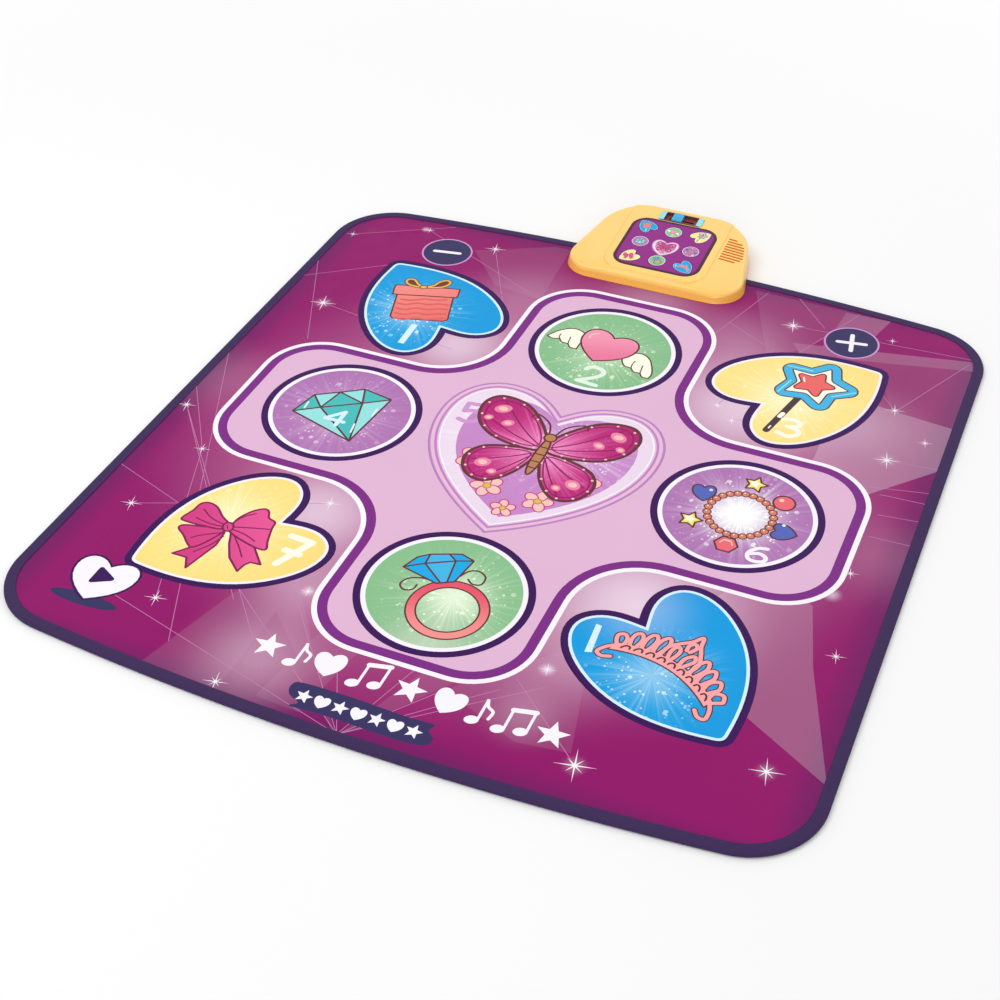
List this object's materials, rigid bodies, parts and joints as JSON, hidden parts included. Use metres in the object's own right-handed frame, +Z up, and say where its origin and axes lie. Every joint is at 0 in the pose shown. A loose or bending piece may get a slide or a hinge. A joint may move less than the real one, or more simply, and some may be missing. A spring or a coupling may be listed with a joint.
{
  "type": "electronic dance mat",
  "caption": "Soft electronic dance mat with numbered heart and round pressure zones, a bound edge, and a sound box on its rear edge with a picture panel, slide switch and battery bay.",
  "frame": {"origin": "on the floor, at the middle of the mat's underside", "axes": "+X to the player's right, +Y away from the player towards the sound box, +Z up"},
  "size_m": [0.9, 1.0421, 0.0371],
  "materials": {
    "magenta_vinyl": "printed PVC sheet, fine grain, satin",
    "blue_zone": "printed PVC sheet, satin",
    "yellow_zone": "printed PVC sheet, satin",
    "green_zone": "printed PVC sheet, satin",
    "purple_zone": "printed PVC sheet, satin",
    "pink_zone": "printed PVC sheet, satin",
    "navy_zone": "printed PVC sheet, satin",
    "white_zone": "printed PVC sheet, satin",
    "purple_binding": "woven binding tape, folded and stitched",
    "grey_backing": "non-slip backing cloth with dots",
    "clear_film": "clear polyester film",
    "white_foam": "thin foam sheet",
    "yellow_plastic": "moulded ABS, fine texture",
    "purple_panel": "printed clear panel, gloss",
    "cyan_plastic": "moulded, gloss",
    "blue_plastic": "moulded, gloss",
    "dark_slot": "moulded, satin",
    "black_plastic": "moulded, satin",
    "green_board": "printed circuit board, solder mask",
    "led_lens": "clear resin",
    "cone_paper": "pressed paper",
    "steel": "plated",
    "cell_wrap": "printed sleeve, plain",
    "rubber": "matte",
    "red_wire": "insulated wire",
    "black_wire": "insulated wire"
  },
  "bodies": {
    "root": {"backing_sheet": "grey_backing", "battery_1": "cell_wrap", "battery_2": "cell_wrap", "battery_3": "cell_wrap", "battery_contact_left": "steel", "battery_contact_right": "steel", "battery_lead_black": "black_wire", "battery_lead_red": "red_wire", "edge_binding": "purple_binding", "foam_spacer": "white_foam", "housing_screw_1": "steel", "housing_screw_2": "steel", "housing_screw_3": "steel", "housing_screw_4": "steel", "lower_housing": "yellow_plastic", "lower_membrane": "clear_film", "main_board": "green_board", "mat_clamp_strip": "steel", "mat_screw_1": "steel", "mat_screw_2": "steel", "mat_screw_3": "steel", "membrane_tail": "clear_film", "panel_led_1": "led_lens", "panel_led_2": "led_lens", "panel_led_3": "led_lens", "panel_led_4": "led_lens", "panel_led_5": "led_lens", "panel_led_6": "led_lens", "panel_led_7": "led_lens", "panel_led_8": "led_lens", "panel_led_9": "led_lens", "picture_panel": "purple_panel", "printed_cover": "magenta_vinyl", "ribbon_connector": "black_plastic", "rubber_foot_left": "rubber", "rubber_foot_right": "rubber", "sound_chip": "black_plastic", "speaker_basket": "steel", "speaker_cone": "cone_paper", "speaker_magnet": "steel", "switch_bezel": "cyan_plastic", "switch_body": "black_plastic", "switch_slot_plate": "dark_slot", "upper_housing": "yellow_plastic"},
    "zone_1": {"step_pad_1": "blue_zone"},
    "zone_2": {"step_pad_2": "green_zone"},
    "zone_3": {"step_pad_3": "yellow_zone"},
    "zone_4": {"step_pad_4": "purple_zone"},
    "zone_5": {"step_pad_5": "pink_zone"},
    "zone_6": {"step_pad_6": "purple_zone"},
    "zone_7": {"step_pad_7": "yellow_zone"},
    "zone_8": {"step_pad_8": "green_zone"},
    "zone_9": {"step_pad_9": "blue_zone"},
    "start_zone": {"start_pad": "white_zone"},
    "volume_down_zone": {"volume_down_pad": "navy_zone"},
    "volume_up_zone": {"volume_up_pad": "navy_zone"},
    "switch_slider": {"switch_knob": "blue_plastic"},
    "battery_hatch": {"battery_door": "yellow_plastic", "battery_door_screw": "steel"}
  },
  "joints": [
    {"name": "step_pad_1_press", "type": "slide", "parent": "root", "child": "zone_1", "axis": [0, 0, -1], "range_m": [0, 0.001], "stiffness_N_per_m": 1200, "springref_m": -0.002},
    {"name": "step_pad_2_press", "type": "slide", "parent": "root", "child": "zone_2", "axis": [0, 0, -1], "range_m": [0, 0.001], "stiffness_N_per_m": 1200, "springref_m": -0.002},
    {"name": "step_pad_3_press", "type": "slide", "parent": "root", "child": "zone_3", "axis": [0, 0, -1], "range_m": [0, 0.001], "stiffness_N_per_m": 1200, "springref_m": -0.002},
    {"name": "step_pad_4_press", "type": "slide", "parent": "root", "child": "zone_4", "axis": [0, 0, -1], "range_m": [0, 0.001], "stiffness_N_per_m": 1200, "springref_m": -0.002},
    {"name": "step_pad_5_press", "type": "slide", "parent": "root", "child": "zone_5", "axis": [0, 0, -1], "range_m": [0, 0.001], "stiffness_N_per_m": 1200, "springref_m": -0.002},
    {"name": "step_pad_6_press", "type": "slide", "parent": "root", "child": "zone_6", "axis": [0, 0, -1], "range_m": [0, 0.001], "stiffness_N_per_m": 1200, "springref_m": -0.002},
    {"name": "step_pad_7_press", "type": "slide", "parent": "root", "child": "zone_7", "axis": [0, 0, -1], "range_m": [0, 0.001], "stiffness_N_per_m": 1200, "springref_m": -0.002},
    {"name": "step_pad_8_press", "type": "slide", "parent": "root", "child": "zone_8", "axis": [0, 0, -1], "range_m": [0, 0.001], "stiffness_N_per_m": 1200, "springref_m": -0.002},
    {"name": "step_pad_9_press", "type": "slide", "parent": "root", "child": "zone_9", "axis": [0, 0, -1], "range_m": [0, 0.001], "stiffness_N_per_m": 1200, "springref_m": -0.002},
    {"name": "start_press", "type": "slide", "parent": "root", "child": "start_zone", "axis": [0, 0, -1], "range_m": [0, 0.001], "stiffness_N_per_m": 400, "springref_m": -0.002},
    {"name": "volume_down_press", "type": "slide", "parent": "root", "child": "volume_down_zone", "axis": [0, 0, -1], "range_m": [0, 0.001], "stiffness_N_per_m": 400, "springref_m": -0.002},
    {"name": "volume_up_press", "type": "slide", "parent": "root", "child": "volume_up_zone", "axis": [0, 0, -1], "range_m": [0, 0.001], "stiffness_N_per_m": 400, "springref_m": -0.002},
    {"name": "power_switch_slide", "type": "slide", "parent": "root", "child": "switch_slider", "axis": [1, 0, 0], "range_m": [-0.0104, 0.0204]},
    {"name": "battery_door_hinge", "type": "hinge", "parent": "root", "child": "battery_hatch", "pos_m": [0, 0.49115, 0.003], "axis": [-1, 0, 0], "range_deg": [0, 80]}
  ]
}
